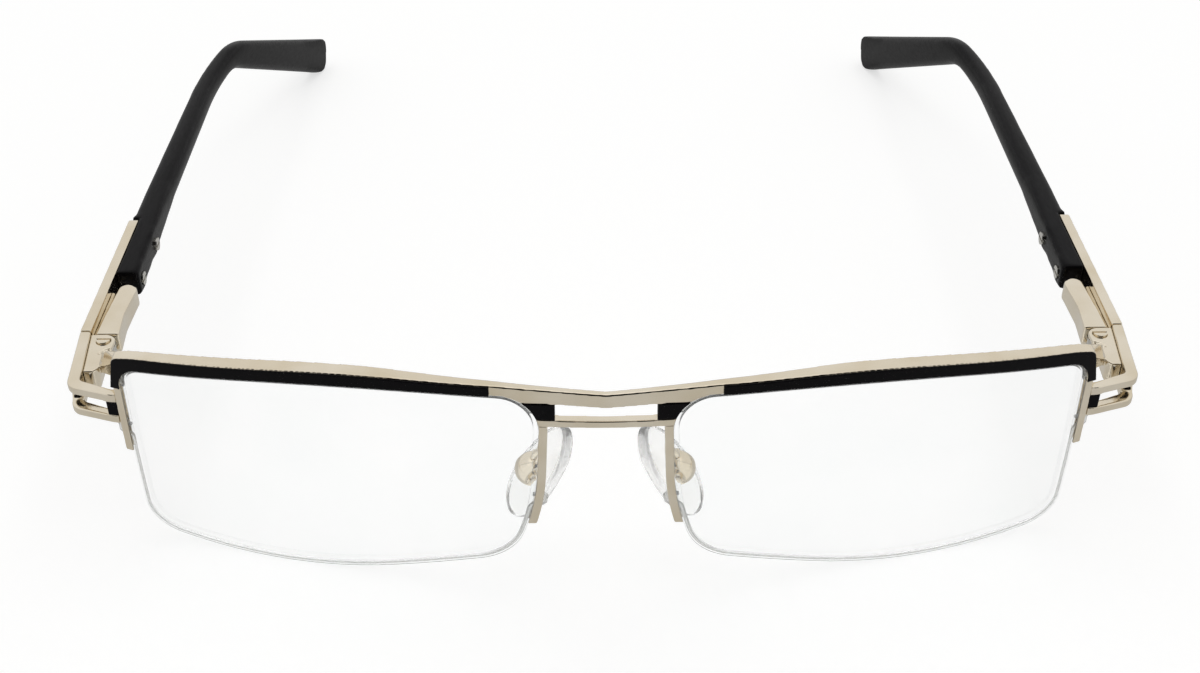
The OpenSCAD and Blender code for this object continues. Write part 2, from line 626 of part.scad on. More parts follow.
// Temple
box_x0 = pivot_x - 1.6;
box_x1 = pivot_x + 1.5;
box_end = sleeve_y - 1.2;
box_foot = block_top - block_h;
box_slope = 0.5;
module spring_box(s) color(gold) on_side(s) difference() {
    union() {
        intersection() {
            plan(box_foot, block_top) polygon(rounded([
                [box_x0, joint_y + joint_gap, 0], [box_x0 + 0.55, joint_y + 5, 14],
                [box_x0 + 0.45, box_end - 1.6, 1.3], [box_x0 + 2, box_end, 1.1],
                [box_x1, box_end - 1.3, 1.2], [box_x1, joint_y + joint_gap, 0]
            ]));
            from_side(half_w - 9, half_w) polygon(rounded([
                [joint_y, box_foot, 0], [joint_y, block_top, 0], [joint_y + 5, block_top, 14],
                [sleeve_y + 4, block_top - box_slope, 0], [sleeve_y + 4, box_foot, 0]
            ]));
        }
        // The web that carries the box on the plate
        splayed() translate([box_x1 - 0.5, joint_y + 1, eye_z - 0.9])
            cube([half_w - arm_t - fit - box_x1 + 0.5, box_end - joint_y - 3, 1.6]);
    }
    along_y([pivot_x, joint_y - 1, eye_z], cavity_r, rod_end_y + 2.9 - joint_y);
}
plate_rake = 0.8;
module temple_plate(s) color(gold) on_side(s) splayed() difference() {
    from_side(half_w - arm_t, half_w) polygon(rounded([
        [joint_y + joint_gap, plate_bottom, 0], [joint_y + joint_gap, temple_z, 0],
        [joint_y + plate_l, temple_z, 1], [joint_y + plate_l - plate_rake, plate_bottom, 1.6]
    ]));
    sleeve_screw_places() along_x([half_w - arm_t - 1, 0, 0], 0.5 + seam, 1.6);
}
screw_z = sleeve_top - sleeve_h + 1.55;
module sleeve_screw_places() for (i = [0, 1])
    translate([0, sleeve_y + 2.2 + i * sleeve_screw_pitch, screw_z]) children();
core_z = sleeve_top - 1.1;
core_inset = (arm_t - half_w + sleeve_x + sleeve_w) / 2;
// The core follows the sleeve's plan and side outlines, near their middle
module core_shape(gap) intersection() {
    r = core_t / 2 + gap;
    plan(-far, far) polygon(between(
        plan_line(core_inset + r, bend_w / 2 + r, tip_w / 2 + r, sleeve_y + 1.7 - gap),
        plan_line(core_inset - r, bend_w / 2 - r, tip_w / 2 - r, sleeve_y + 1.7 - gap)
    ));
    from_side(0, half_w + 9) polygon(rounded([
        [sleeve_y + 1, core_z + core_h / 2 + gap, 0],
        [bend_y, sleeve_top - bend_h / 2 + core_h / 2 + gap, 22],
        [tip_y - 8 + gap, tip_low_z + tip_h / 2 + 3.4 + core_h / 2 + gap, 0],
        [tip_y - 8 + gap, tip_low_z + tip_h / 2 + 3.4 - core_h / 2 - gap, 0],
        [bend_y - 0.5, sleeve_top - bend_h / 2 - core_h / 2 - gap, 20],
        [sleeve_y + 1, core_z - core_h / 2 - gap, 0]
    ]));
}
module core_wire(s) color(steel) on_side(s) splayed() core_shape(0);
module temple_sleeve(s) color(black) on_side(s) difference() {
    splayed() sleeve_body();
    // The scoop for the spring box's round end
    plan(box_foot - 1, sleeve_top + 1) polygon(rounded([
        [box_x0 + 0.2, box_end - 3, 0], [box_x0 + 0.2, box_end - 0.9, 1.4],
        [pivot_x - 0.4, box_end + 0.9, 1.4], [half_w, box_end + 0.5, 0], [half_w, box_end - 3, 0]
    ]));
}
module sleeve_body() difference() {
    intersection() {
        plan(-far, far)
            polygon(between(plan_line(sleeve_w, bend_w, tip_w, sleeve_y), plan_line(0, 0, 0, sleeve_y)));
        from_side(0, half_w + 1) polygon(side_points);
    }
    core_shape(fit);
    // The seat of the temple plate
    from_side(half_w - arm_t - fit, half_w + 1) polygon([
        [joint_y, plate_bottom - 1], [joint_y, temple_z + 1],
        [joint_y + plate_l + fit + plate_rake / arm_h, temple_z + 1],
        [joint_y + plate_l + fit - plate_rake - plate_rake / arm_h, plate_bottom - 1]
    ]);
    sleeve_screw_places() {
        along_x([sleeve_x - sleeve_w - 1, 0, 0], 0.5 + fit, sleeve_w + 2);
        along_x([sleeve_x - sleeve_w - 1, 0, 0], sleeve_screw_d / 2 + fit, 1.3);
    }
}
module sleeve_screws(s) color(steel) on_side(s) splayed() sleeve_screw_places() difference() {
    union() {
        along_x([sleeve_x - sleeve_w - 0.15, 0, 0], sleeve_screw_d / 2, 0.42);
        along_x([sleeve_x - sleeve_w + 0.1, 0, 0], 0.5, half_w - arm_t + 0.4 - sleeve_x + sleeve_w);
    }
    translate([sleeve_x - sleeve_w - 1, -1.2, -0.15]) cube([1.05, 2.4, 0.3]);
}

// Nose pads: drawn upright round their rocking axis, then leaned and splayed
module at_pad() translate([pad_x, pad_y, pad_z])
    rotate([0, -pad_lean, 0]) rotate([0, 0, -pad_splay]) children();
pad_back = -1.35;
post_w = 1.4;
module pad_face() polygon([
    for (a = [0:7.5:359]) [pad_w / 2 * sin(a) * (1 - 0.2 * cos(a)), pad_l / 2 * cos(a)]
]);
module nose_pad(s) color(clear, 0.5) on_side(s) at_pad() difference() {
    union() {
        intersection() {
            translate([pad_back - pad_t, 0, -0.6]) rotate([90, 0, 90]) linear_extrude(pad_t) pad_face();
            translate([pad_back - pad_t + 10, 0, -40]) cylinder(h = 80, r = 10, $fn = smooth);
            translate([pad_back - pad_t + 34, 0, -0.6]) sphere(r = 34, $fn = smooth);
        }
        translate([pad_back - 0.5, -post_w / 2, -0.85]) cube([1.1, post_w, 1.7]);
        rotate([90, 0, 0]) translate([0, 0, -post_w / 2]) cylinder(h = post_w, r = 0.85, $fn = round_fn);
    }
    along_y([0, -3, 0], pad_pin_d / 2 + run_gap, 6);
}
box_half_w = 1.5;
box_half_h = 1.8;
module pad_box(s) color(gold) on_side(s) at_pad() difference() {
    intersection() {
        translate([-0.9, -box_half_w, -box_half_h]) cube([2.5, 2 * box_half_w, 2 * box_half_h]);
        translate([-0.6, 0, 0]) sphere(r = 2.2, $fn = smooth);
    }
    translate([-2, -post_w / 2 - 0.12, -1.25]) cube([3, post_w + 0.24, 2.5]);
    along_y([0, -3, 0], pad_pin_d / 2 + seam, 6);
}
module pad_screw(s) color(gold) on_side(s) at_pad() difference() {
    union() {
        along_y([0, -box_half_w, 0], pad_pin_d / 2, 2 * box_half_w);
        along_y([0, -box_half_w - 0.42, 0], 0.62, 0.4);
        along_y([0, -box_half_w - 0.2, 0], pad_pin_d / 2, 0.4);
    }
    translate([-2, -box_half_w - 1, -0.1]) cube([4, 0.8, 0.2]);
}
// The wire leaves the rim's back, runs back behind the rim and ends square on the pad box's top
wire_root_z = pad_z + 4.2;
wire_root_x = rim_x(wire_root_z, false) - nasal_rim_w / 2;
wire_root = on_front(wire_root_x, wire_root_z, bar_front - bar_end_depth + 0.05) + [0, 0.4, 0];
function from_pad(v) =
    let (a = turned([v.x, v.y], -pad_splay))
    [
        pad_x + a.x * cos(pad_lean) - v.z * sin(pad_lean), pad_y + a.y,
        pad_z + a.x * sin(pad_lean) + v.z * cos(pad_lean)
    ];
wire_line = spline([
    wire_root, wire_root + [0, 1.8, 0.1], wire_root + [0.1, 3.8, -0.3],
    from_pad([0.35, -0.3, 3.3]), from_pad([0.35, -0.15, 2.5]), from_pad([0.35, -0.1, box_half_h + 0.06])
], 4);
module pad_arm(s) color(gold) on_side(s) swept(wire_line, pad_wire_d, [0.6, 0, 0.8], 12);

brow_bar();
lower_bridge_bar();
brow_inlay(-1);  // brow_inlay_l
brow_inlay(1);  // brow_inlay_r
bridge_block(-1);  // bridge_block_l
bridge_block(1);  // bridge_block_r
nasal_rim(-1);  // nasal_rim_l
nasal_rim(1);  // nasal_rim_r
temporal_rim(-1);  // temporal_rim_l
temporal_rim(1);  // temporal_rim_r
endpiece(-1);  // endpiece_l
endpiece(1);  // endpiece_r
endpiece_inlay(-1);  // endpiece_inlay_l
endpiece_inlay(1);  // endpiece_inlay_r
hinge_bracket(-1);  // hinge_bracket_l
hinge_bracket(1);  // hinge_bracket_r
hinge_screw(-1);  // hinge_screw_l
hinge_screw(1);  // hinge_screw_r
lens(-1);  // lens_l
lens(1);  // lens_r
lens_liner(-1);  // lens_liner_l
lens_liner(1);  // lens_liner_r
nylon_thread(-1);  // nylon_thread_l
nylon_thread(1);  // nylon_thread_r
pad_arm(-1);  // pad_arm_l
pad_arm(1);  // pad_arm_r
pad_box(-1);  // pad_box_l
pad_box(1);  // pad_box_r
pad_screw(-1);  // pad_screw_l
pad_screw(1);  // pad_screw_r
nose_pad(-1);  // nose_pad_l
nose_pad(1);  // nose_pad_r
hinge_tongue(-1);  // hinge_tongue_l
hinge_tongue(1);  // hinge_tongue_r
tongue_nut(-1);  // tongue_nut_l
tongue_nut(1);  // tongue_nut_r
hinge_spring(-1);  // hinge_spring_l
hinge_spring(1);  // hinge_spring_r
spring_bush(-1);  // spring_bush_l
spring_bush(1);  // spring_bush_r
spring_box(-1);  // spring_box_l
spring_box(1);  // spring_box_r
temple_plate(-1);  // temple_plate_l
temple_plate(1);  // temple_plate_r
temple_sleeve(-1);  // temple_sleeve_l
temple_sleeve(1);  // temple_sleeve_r
core_wire(-1);  // core_wire_l
core_wire(1);  // core_wire_r
sleeve_screws(-1);  // sleeve_screws_l
sleeve_screws(1);  // sleeve_screws_r
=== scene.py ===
import json
from math import cos, radians, sin

import bmesh
import bpy
from mathutils import Matrix, Vector
from mathutils.bvhtree import BVHTree


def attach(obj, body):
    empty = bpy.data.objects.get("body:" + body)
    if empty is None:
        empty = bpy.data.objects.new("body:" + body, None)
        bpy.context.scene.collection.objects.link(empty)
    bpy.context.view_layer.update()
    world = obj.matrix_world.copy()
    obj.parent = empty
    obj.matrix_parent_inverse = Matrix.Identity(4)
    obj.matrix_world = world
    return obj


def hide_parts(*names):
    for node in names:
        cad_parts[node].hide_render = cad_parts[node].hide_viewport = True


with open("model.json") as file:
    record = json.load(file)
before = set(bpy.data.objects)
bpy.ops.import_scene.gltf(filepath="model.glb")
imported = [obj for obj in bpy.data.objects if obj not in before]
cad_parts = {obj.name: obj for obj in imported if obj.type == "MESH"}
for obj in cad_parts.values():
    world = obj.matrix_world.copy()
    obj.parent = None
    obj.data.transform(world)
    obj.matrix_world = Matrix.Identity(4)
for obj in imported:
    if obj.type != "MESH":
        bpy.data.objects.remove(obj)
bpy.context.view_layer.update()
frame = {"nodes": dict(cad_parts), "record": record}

mm = 0.001
weld = 1e-6  # metres: corners of the CAD mesh that are closer than this are one
white = (1, 1, 1, 1)
nodes = frame["nodes"]
bodies = frame["record"]["behaviour"]["bodies"]
bodyOf = {name: body for body, names in bodies.items() for name in names}
slotOf = {part["node"]: part["material_slot"] for part in frame["record"]["subparts"]}
print("frame loaded")


# Materials. Patterns are sized in millimetres and turned to Blender's scale per metre.
def linear(hexColour):
    parts = [int(hexColour[i:i + 2], 16) / 255 for i in (1, 3, 5)]
    return (*[c / 12.92 if c <= 0.04045 else ((c + 0.055) / 1.055) ** 2.4 for c in parts], 1.0)


def perMetre(size):  # a noise whose features are this many millimetres wide
    return 1000.0 / size


def addNode(tree, kind, inputs=None, **settings):
    node = tree.nodes.new("ShaderNode" + kind)
    for name, value in settings.items():
        setattr(node, name, value)
    for name, value in (inputs or {}).items():
        if isinstance(value, bpy.types.NodeSocket):
            tree.links.new(value, node.inputs[name])
        else:
            node.inputs[name].default_value = value
    return node


def emptyMaterial(name):
    material = bpy.data.materials.new(name)
    material.use_nodes = True
    material.node_tree.nodes.clear()
    return material, material.node_tree


tintLook = {"start": 0.3, "end": 0.7}  # the noise's middle range, over which a tint changes


def tinted(tree, factor, look):  # a finish between its deep and its light colour
    ramp = addNode(tree, "ValToRGB", {"Fac": factor})
    deep, light = ramp.color_ramp.elements
    deep.color, light.color = linear(look["deep"]), linear(look["light"])
    deep.position, light.position = tintLook["start"], tintLook["end"]
    return ramp.outputs["Color"]


# Nickel silver, electroplated pale gold and buffed: a warm even metal with a faint haze of
# polishing lines
platingLook = {"light": "#e8decb", "deep": "#dccfb6", "patch": 7.0, "haze": 0.5,
               "smooth": 0.1, "dull": 0.18,
               "line": 0.14, "lineRun": (0.12, 0.3, 1.0), "lineDepth": 0.0012}


def platedGold(name, look):
    material, tree = emptyMaterial(name)
    where = addNode(tree, "TexCoord").outputs["Object"]
    patches = addNode(tree, "TexNoise", {
        "Vector": where, "Scale": perMetre(look["patch"]), "Detail": 2.0})
    haze = addNode(tree, "TexNoise", {
        "Vector": where, "Scale": perMetre(look["haze"]), "Detail": 4.0})
    rough = addNode(tree, "MapRange", {
        "Value": haze.outputs["Fac"], "To Min": look["smooth"], "To Max": look["dull"]})
    along = addNode(tree, "Mapping", {"Vector": where, "Scale": look["lineRun"]})
    lines = addNode(tree, "TexNoise", {
        "Vector": along.outputs["Vector"], "Scale": perMetre(look["line"]), "Detail": 2.0})
    bump = addNode(tree, "Bump", {
        "Height": lines.outputs["Fac"], "Strength": 0.35, "Distance": look["lineDepth"] * mm})
    shader = addNode(tree, "BsdfPrincipled", {
        "Base Color": tinted(tree, patches.outputs["Fac"], look),
        "Roughness": rough.outputs["Result"], "Metallic": 1.0, "Normal": bump.outputs["Normal"]})
    addNode(tree, "OutputMaterial", {"Surface": shader.outputs["BSDF"]})
    return material


# Black enamel, sprayed into the front's recess and baked: deep black with a slight orange peel
enamelLook = {"light": "#0c0a0d", "deep": "#060507", "speck": 0.5, "smooth": 0.16, "dull": 0.24,
              "shine": 0.08, "peel": 0.9, "peelDepth": 0.003}


def bakedEnamel(name, look):
    material, tree = emptyMaterial(name)
    where = addNode(tree, "TexCoord").outputs["Object"]
    speck = addNode(tree, "TexNoise", {
        "Vector": where, "Scale": perMetre(look["speck"]), "Detail": 3.0})
    rough = addNode(tree, "MapRange", {
        "Value": speck.outputs["Fac"], "To Min": look["smooth"], "To Max": look["dull"]})
    peel = addNode(tree, "TexNoise", {
        "Vector": where, "Scale": perMetre(look["peel"]), "Detail": 1.0})
    bump = addNode(tree, "Bump", {
        "Height": peel.outputs["Fac"], "Strength": 0.4, "Distance": look["peelDepth"] * mm})
    shader = addNode(tree, "BsdfPrincipled", {
        "Base Color": tinted(tree, speck.outputs["Fac"], look),
        "Roughness": rough.outputs["Result"], "Specular IOR Level": look["shine"],
        "Normal": bump.outputs["Normal"]})
    addNode(tree, "OutputMaterial", {"Surface": shader.outputs["BSDF"]})
    return material


# Black cellulose acetate, injected over the core and tumbled: soft gloss with faint flow and
# hairline scuffs, which lie over it as a worn matt film
acetateLook = {"light": "#121011", "deep": "#0a090b", "run": (1.0, 0.2, 1.0), "flow": 9.0,
               "smooth": 0.16, "dull": 0.28, "ior": 1.48, "shine": 0.12,
               "scuff": 0.35, "scuffDepth": 0.002,
               "wornLeast": 0.23, "wornMost": 0.53, "wornRough": 0.6}


def tumbledAcetate(name, look):
    material, tree = emptyMaterial(name)
    where = addNode(tree, "TexCoord").outputs["Object"]
    along = addNode(tree, "Mapping", {"Vector": where, "Scale": look["run"]}).outputs["Vector"]
    flow = addNode(tree, "TexNoise", {
        "Vector": along, "Scale": perMetre(look["flow"]), "Detail": 3.0})
    scuff = addNode(tree, "TexNoise", {
        "Vector": along, "Scale": perMetre(look["scuff"]), "Detail": 5.0})
    rough = addNode(tree, "MapRange", {
        "Value": scuff.outputs["Fac"], "To Min": look["smooth"], "To Max": look["dull"]})
    bump = addNode(tree, "Bump", {
        "Height": scuff.outputs["Fac"], "Strength": 0.3, "Distance": look["scuffDepth"] * mm})
    shader = addNode(tree, "BsdfPrincipled", {
        "Base Color": tinted(tree, flow.outputs["Fac"], look),
        "Roughness": rough.outputs["Result"], "IOR": look["ior"],
        "Specular IOR Level": look["shine"], "Normal": bump.outputs["Normal"]})
    film = addNode(tree, "BsdfDiffuse", {
        "Color": linear(look["deep"]), "Roughness": look["wornRough"]})
    worn = addNode(tree, "MapRange", {
        "Value": scuff.outputs["Fac"], "To Min": look["wornLeast"], "To Max": look["wornMost"]})
    both = addNode(tree, "MixShader", {
        0: worn.outputs["Result"], 1: shader.outputs["BSDF"], 2: film.outputs["BSDF"]})
    addNode(tree, "OutputMaterial", {"Surface": both.outputs["Shader"]})
    return material


# Clear plastics. Lamps shine through them, so that they cast a faint shadow, as the real ones do.
def clearPlastic(name, look):
    material, tree = emptyMaterial(name)
    where = addNode(tree, "TexCoord").outputs["Object"]
    haze = addNode(tree, "TexNoise", {
        "Vector": where, "Scale": perMetre(look["haze"]), "Detail": 3.0})
    bump = addNode(tree, "Bump", {
        "Height": haze.outputs["Fac"], "Strength": 0.3, "Distance": look["hazeDepth"] * mm})
    shader = addNode(tree, "BsdfPrincipled", {
        "Base Color": tinted(tree, haze.outputs["Fac"], look),
        "Roughness": look["rough"], "IOR": look["ior"], "Transmission Weight": 1.0 - look["milk"],
        "Specular IOR Level": look["shine"], "Normal": bump.outputs["Normal"]})
    through = addNode(tree, "BsdfTransparent", {"Color": linear(look["shade"])})
    shadow = addNode(tree, "LightPath").outputs["Is Shadow Ray"]
    both = addNode(tree, "MixShader", {
        0: shadow, 1: shader.outputs["BSDF"], 2: through.outputs["BSDF"]})
    addNode(tree, "OutputMaterial", {"Surface": both.outputs["Shader"]})
    return material


# Demo lens: acrylic, cast and polished: quite clear, with a faint mirror
lensLook = {"light": "#ffffff", "deep": "#fcfdfd", "shade": "#f0f2f2", "haze": 12.0,
            "hazeDepth": 0.0005, "rough": 0.0, "ior": 1.49, "milk": 0.0, "shine": 0.15}
# Lens edge: the same acrylic, ground by the edging wheel: matt and a little milky
edgeLook = {"light": "#fbfcfc", "deep": "#e9ebeb", "shade": "#e4e6e6", "haze": 0.15,
            "hazeDepth": 0.004, "rough": 0.4, "ior": 1.49, "milk": 0.15, "shine": 0.3}
# Nose pad: silicone, moulded: soft gloss, slightly frosted
siliconeLook = {"light": "#ffffff", "deep": "#fcfcfa", "shade": "#e8e8e6", "haze": 0.8,
                "hazeDepth": 0.01, "rough": 0.14, "ior": 1.41, "milk": 0.04, "shine": 0.2}
# Thread and liner: nylon, drawn and extruded: clear, with a milky core
nylonLook = {"light": "#f4f4f2", "deep": "#e4e4e1", "shade": "#dcdcda", "haze": 0.3,
             "hazeDepth": 0.003, "rough": 0.25, "ior": 1.53, "milk": 0.2, "shine": 0.3}


# Stainless steel, turned and polished: a cool grey metal with fine turning marks
steelLook = {"light": "#d4d2cc", "deep": "#b8b5ad", "haze": 0.3, "smooth": 0.18, "dull": 0.34,
             "mark": 0.1, "markDepth": 0.002}


def turnedSteel(name, look):
    material, tree = emptyMaterial(name)
    where = addNode(tree, "TexCoord").outputs["Object"]
    haze = addNode(tree, "TexNoise", {
        "Vector": where, "Scale": perMetre(look["haze"]), "Detail": 3.0})
    rough = addNode(tree, "MapRange", {
        "Value": haze.outputs["Fac"], "To Min": look["smooth"], "To Max": look["dull"]})
    marks = addNode(tree, "TexNoise", {
        "Vector": where, "Scale": perMetre(look["mark"]), "Detail": 2.0})
    bump = addNode(tree, "Bump", {
        "Height": marks.outputs["Fac"], "Strength": 0.3, "Distance": look["markDepth"] * mm})
    shader = addNode(tree, "BsdfPrincipled", {
        "Base Color": tinted(tree, haze.outputs["Fac"], look),
        "Roughness": rough.outputs["Result"], "Metallic": 1.0, "Normal": bump.outputs["Normal"]})
    addNode(tree, "OutputMaterial", {"Surface": shader.outputs["BSDF"]})
    return material


paleGold = platedGold("pale_gold_plating", platingLook)
blackEnamel = bakedEnamel("black_baked_enamel", enamelLook)
blackAcetate = tumbledAcetate("black_tumbled_acetate", acetateLook)
demoLens = clearPlastic("demo_lens_acrylic", lensLook)
clearSilicone = clearPlastic("moulded_silicone", siliconeLook)
clearNylon = clearPlastic("drawn_nylon", nylonLook)
groundEdge = clearPlastic("ground_lens_edge", edgeLook)
turned = turnedSteel("turned_steel", steelLook)
slotMaterials = {
    "pale_gold": paleGold, "black_enamel": blackEnamel, "black_acetate": blackAcetate,
    "demo_lens": demoLens, "clear_nylon": clearNylon, "clear_silicone": clearSilicone,
    "steel": turned, "screw_steel": turned}
print("materials made")


def copied(name):  # a node's mesh as one closed skin
    bm = bmesh.new()
    bm.from_mesh(nodes[name].data)
    bmesh.ops.remove_doubles(bm, verts=bm.verts, dist=weld)
    bmesh.ops.recalc_face_normals(bm, faces=bm.faces)
    return bm


def placed(name, bm, materials):  # a new piece that stands for a node, riding where the node rides
    mesh = bpy.data.meshes.new(name + "_finished")
    bm.to_mesh(mesh)
    bm.free()
    for material in materials:
        mesh.materials.append(material)
    piece = bpy.data.objects.new(name + "_finished", mesh)
    bpy.context.scene.collection.objects.link(piece)
    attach(piece, bodyOf[name])
    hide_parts(name)


def regridded(bm, grid):  # an even skin of small quads in place of the CAD triangles
    mesh = bpy.data.meshes.new("work")
    bm.to_mesh(mesh)
    bm.free()
    work = bpy.data.objects.new("work", mesh)
    bpy.context.scene.collection.objects.link(work)
    remesh = work.modifiers.new("grid", "REMESH")
    remesh.mode = "VOXEL"
    remesh.voxel_size = grid * mm
    seen = work.evaluated_get(bpy.context.evaluated_depsgraph_get())
    even = bpy.data.meshes.new_from_object(seen)
    bm = bmesh.new()
    bm.from_mesh(even)
    bpy.data.objects.remove(work)
    bpy.data.meshes.remove(mesh)
    bpy.data.meshes.remove(even)
    return bm


def shaded(bm):  # smooth shading
    for face in bm.faces:
        face.smooth = True
    return bm


def clamped(value):
    return min(1, max(0, value))


def surfacesOf(names):  # the skins of some nodes, to measure how far away they are
    bm = bmesh.new()
    for name in names:
        bm.from_mesh(nodes[name].data)
    tree = BVHTree.FromBMesh(bm)
    bm.free()
    return tree


def freedom(tree, look):  # 0 where a piece touches the others, 1 where it is far from them
    def free(v):
        away = tree.find_nearest(v.co, look["far"] * mm)[3]
        if away is None:
            return 1
        return clamped((away / mm - look["near"]) / (look["far"] - look["near"]))
    return free


def softened(bm, free, look):  # rounds the edges off, hardly at all where pieces meet
    rounds = [round(look["crisp"] + (look["rounds"] - look["crisp"]) * free(v)) for v in bm.verts]
    for done in range(max(rounds)):
        verts = [v for v, limit in zip(bm.verts, rounds) if limit > done]
        bmesh.ops.smooth_vert(
            bm, verts=verts, factor=0.5, use_axis_x=True, use_axis_y=True, use_axis_z=True)
    return shaded(bm)


# The front is part of a sphere that is leaned by its tilt, here in the source's millimetres
frontLook = {"radius": 185.0, "tilt": 4.5, "shift": (0, -82.9257, 33.0751), "middle": -16.0,
             "face": 0.3}


def onFront(point):  # millimetres across, up and behind the bars' front face
    lean = Matrix.Rotation(radians(-frontLook["tilt"]), 3, "X")
    place = lean @ (point / mm - Vector(frontLook["shift"]))
    centre = Vector((0, frontLook["radius"], frontLook["middle"]))
    return place.x, place.z, frontLook["radius"] + frontLook["face"] - (place - centre).length


# The brow bar's top falls away to the back near the bridge, so only its front lip shows there
browLook = {"lip": 0.75, "lipWide": 2.2, "wideAt": 32.0, "slope": 0.75, "skin": 1.1}


def slopedBrow(bm, look):
    tops = {}
    spots = [(v, *onFront(v.co)) for v in bm.verts]
    for v, x, z, depth in spots:
        tops[round(x)] = max(tops.get(round(x), z), z)
    for v, x, z, depth in spots:
        widened = min(1, abs(x) / look["wideAt"]) ** 2
        lip = look["lip"] + (look["lipWide"] - look["lip"]) * widened
        drop = max(0, depth - lip) * look["slope"]
        near = max(0, 1 - (tops[round(x)] - z) / look["skin"])
        v.co.z -= drop * near * mm


# Metal, enamel and pads: the real pieces are tumbled and buffed, so every edge is rounded, but
# hardly any where the piece is soldered or set into another
contactLook = {"near": 0.04, "far": 0.4, "crisp": 2}
finishLook = {
    "brow_bar": {"grid": 0.13, "rounds": 7}, "lower_bridge_bar": {"grid": 0.08, "rounds": 12},
    "nasal_rim": {"grid": 0.07, "rounds": 24}, "temporal_rim": {"grid": 0.07, "rounds": 16},
    "endpiece": {"grid": 0.09, "rounds": 26}, "hinge_bracket": {"grid": 0.08, "rounds": 22},
    "temple_plate": {"grid": 0.1, "rounds": 8}, "spring_box": {"grid": 0.09, "rounds": 40},
    "pad_box": {"grid": 0.07, "rounds": 10}, "pad_arm": {"grid": 0.06, "rounds": 6},
    "brow_inlay": {"grid": 0.09, "rounds": 4}, "bridge_block": {"grid": 0.08, "rounds": 5},
    "endpiece_inlay": {"grid": 0.06, "rounds": 5}, "nose_pad": {"grid": 0.13, "rounds": 16}
}
for name in nodes:
    kind = name.removesuffix("_l").removesuffix("_r")
    if kind in finishLook:
        look = contactLook | finishLook[kind]
        bm = regridded(copied(name), look["grid"])
        if name == "brow_bar":
            slopedBrow(bm, browLook)
        others = [other for other in bodyOf if bodyOf[other] == bodyOf[name] and other != name]
        softened(bm, freedom(surfacesOf(others), look), look)
        placed(name, bm, [slotMaterials[slotOf[name]]])
print("front, hinges and pads finished")


# Sleeves: tumbled acetate, pillowed on the inner side, crisp only where it meets the plate and
# the screws. A power of 2 gives a round section, and a high one a square section.
sleeveLook = {"grid": 0.2, "rounds": 12, "crisp": 2, "near": 0.35, "far": 2.0,
              "inner": 2.4, "outer": 4.0, "screwed": 6.0,
              "straight": 15.0, "full": 12.0, "plain": 2.5, "fade": 10.0}


def spread(values, reach):  # each millimetre's lowest and highest value, evened out with those near
    out = {}
    for key in values:
        near = [values[k] for k in values if abs(k - key) <= reach]
        out[key] = [sum(v[i] for v in near) / len(near) for i in range(2)]
    return out


def between(table, y):  # a table read at any place between its millimetres
    low = min(max(int(y // 1), min(table)), max(table) - 1)
    share = clamped(y - low)
    return [a + (b - a) * share for a, b in zip(table[low], table[low + 1])]


def pillowed(bm, side, free, look):
    across, upright = {}, {}
    for v in bm.verts:
        key = round(v.co.y / mm)
        for table, value in ((across, side * v.co.x / mm), (upright, v.co.z / mm)):
            low, high = table.get(key, (value, value))
            table[key] = (min(low, value), max(high, value))
    first, last = min(across), max(across)
    across, upright = spread(across, 1), spread(upright, 1)
    for v in bm.verts:
        y = v.co.y / mm
        (x0, x1), (z0, z1) = between(across, y), between(upright, y)
        u = (side * v.co.x / mm - (x0 + x1) / 2) / ((x1 - x0) / 2)
        w = (v.co.z / mm - (z0 + z1) / 2) / ((z1 - z0) / 2)
        power = look["outer"]
        if u < 0:  # the inner side, fuller beside the screws
            behind = clamped((y - first - look["straight"]) / look["full"])
            power = look["screwed"] + (look["inner"] - look["screwed"]) * behind
        size = (abs(u) ** power + abs(w) ** power) ** (1 / power)
        if size > 0:
            fade = free(v) * clamped((last - y - look["plain"]) / look["fade"])
            share = 1 + (min(1, max(abs(u), abs(w)) / size) - 1) * fade
            v.co.x = side * ((x0 + x1) / 2 + u * share * (x1 - x0) / 2) * mm
            v.co.z = ((z0 + z1) / 2 + w * share * (z1 - z0) / 2) * mm


for end, side in (("_l", -1), ("_r", 1)):
    hard = surfacesOf([name + end for name in ("temple_plate", "sleeve_screws", "spring_box")])
    free = freedom(hard, sleeveLook)
    bm = regridded(copied("temple_sleeve" + end), sleeveLook["grid"])
    pillowed(bm, side, free, sleeveLook)
    softened(bm, free, sleeveLook)
    placed("temple_sleeve" + end, bm, [blackAcetate])
print("sleeves finished")


# Lenses: the rim of each is ground matt, the faces are polished
rimLook = {"facing": 0.7, "sharp": 30.0}
for name in ("lens_l", "lens_r"):
    bm = shaded(copied(name))
    for face in bm.faces:
        face.material_index = 0 if abs(face.normal.y) > rimLook["facing"] else 1
    for edge in bm.edges:
        if len(edge.link_faces) == 2:
            edge.smooth = edge.calc_face_angle() < radians(rimLook["sharp"])
    placed(name, bm, [demoLens, groundEdge])
for name in ("nylon_thread_l", "nylon_thread_r", "lens_liner_l", "lens_liner_r"):
    placed(name, shaded(copied(name)), [clearNylon])
print("lenses finished")

# The CAD nodes: the small turned parts, the cores and the springs show as they are
for name, node in nodes.items():
    for holder in node.material_slots:
        holder.material = slotMaterials[slotOf[name]]
print("frame dressed")


# Floor, room, lamp and camera. Angles are in degrees, lengths in metres.
stageLook = {"floorSize": 6.0, "floor": "#b2b2b1", "floorSeen": 0.66, "floorMirrored": 0.27,
             "room": 0.5, "roomSeen": 1.0, "roomMirrored": 0.85,
             "dark": 46.0, "darkSoft": 10.0, "darkUp": 34.5, "darkMirrored": 0.0,
             "strip": 62.0, "stripMirrored": 0.3,
             "lamp": 2.75, "lampSize": 0.9, "lampPlace": (0, 0.02, 0.9)}


